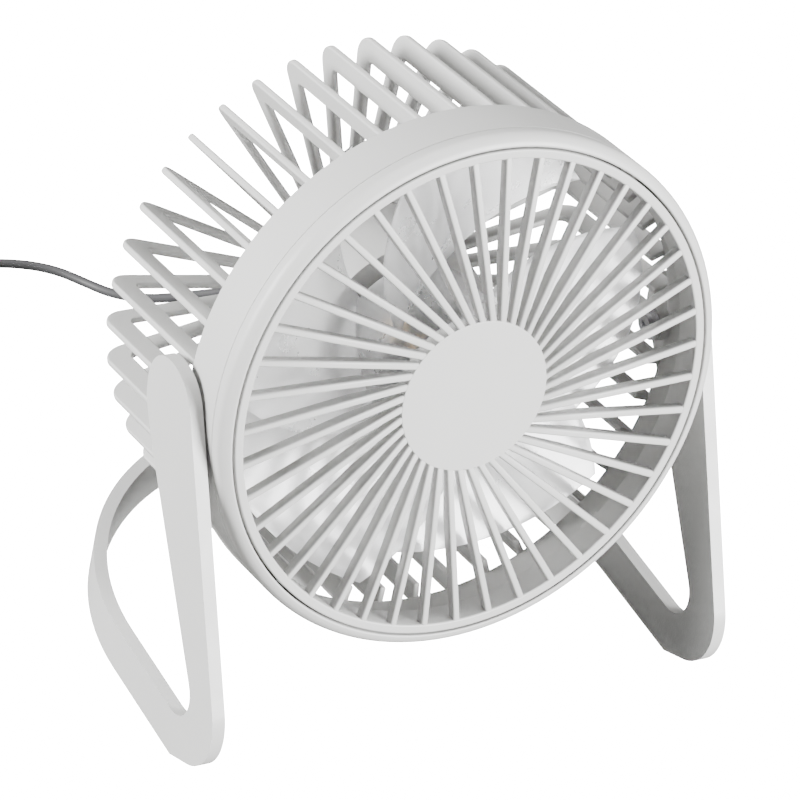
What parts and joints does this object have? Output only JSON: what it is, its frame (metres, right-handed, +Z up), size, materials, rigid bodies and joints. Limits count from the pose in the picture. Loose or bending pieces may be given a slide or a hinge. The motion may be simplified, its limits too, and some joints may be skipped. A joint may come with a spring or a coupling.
{
  "type": "desk fan",
  "caption": "Small round desk fan with a slanted-rib front grille and a finned cage, tilting in a one-piece U-shaped stand, with a dark USB lead",
  "frame": {"origin": "on the floor under the middle of the fan's outline, measured without the USB lead", "axes": "+X is the fan's right-hand side seen from the front, -Y is the way it blows, +Z is up"},
  "size_m": [0.1656, 0.2134, 0.1545],
  "materials": {
    "shell_plastic": "satin",
    "blade_plastic": "satin, slightly translucent",
    "cord_rubber": "matt",
    "dark_plastic": "matt",
    "steel": "satin",
    "bronze": "satin",
    "copper_winding": "enamelled wire",
    "magnet": "sintered",
    "nylon": "satin",
    "board": "solder mask",
    "wire_red": "matt"
  },
  "bodies": {
    "stand": {"stand_frame": "shell_plastic", "pivot_screws": "steel", "pivot_washers": "steel", "power_cord": "cord_rubber", "cord_coil": "cord_rubber", "cord_tie": "dark_plastic", "plug_cord": "cord_rubber", "usb_plug_body": "cord_rubber", "usb_plug_shell": "steel", "usb_plug_tongue": "nylon", "usb_plug_contacts": "bronze"},
    "head": {"front_grille": "shell_plastic", "front_bezel": "shell_plastic", "rear_housing": "shell_plastic", "cage_bars": "shell_plastic", "rear_grille": "shell_plastic", "motor_pod": "shell_plastic", "rear_cap": "shell_plastic", "cap_screws": "steel", "motor_can": "steel", "motor_screws": "steel", "motor_magnets": "magnet", "motor_end_cap": "nylon", "motor_bushings": "bronze", "motor_brushes": "bronze", "circuit_board": "board", "switch_body": "dark_plastic", "lead_wires": "wire_red", "strain_relief": "cord_rubber", "cord_tail": "cord_rubber"},
    "impeller": {"impeller": "blade_plastic", "motor_shaft": "steel", "motor_armature": "copper_winding", "motor_commutator": "bronze"},
    "button": {"switch_button": "shell_plastic"}
  },
  "joints": [
    {"name": "head_tilt", "type": "hinge", "parent": "stand", "child": "head", "pos_m": [0, -0.01355, 0.0843], "axis": [1, 0, 0], "range_deg": [-45, 45]},
    {"name": "impeller_spin", "type": "hinge", "parent": "head", "child": "impeller", "pos_m": [0, -0.01355, 0.0843], "axis": [0, -0.9806, 0.1959], "continuous": true},
    {"name": "button_press", "type": "slide", "parent": "head", "child": "button", "axis": [0, -0.9806, 0.1959], "range_m": [0, 0.0008], "stiffness_N_per_m": 250}
  ]
}
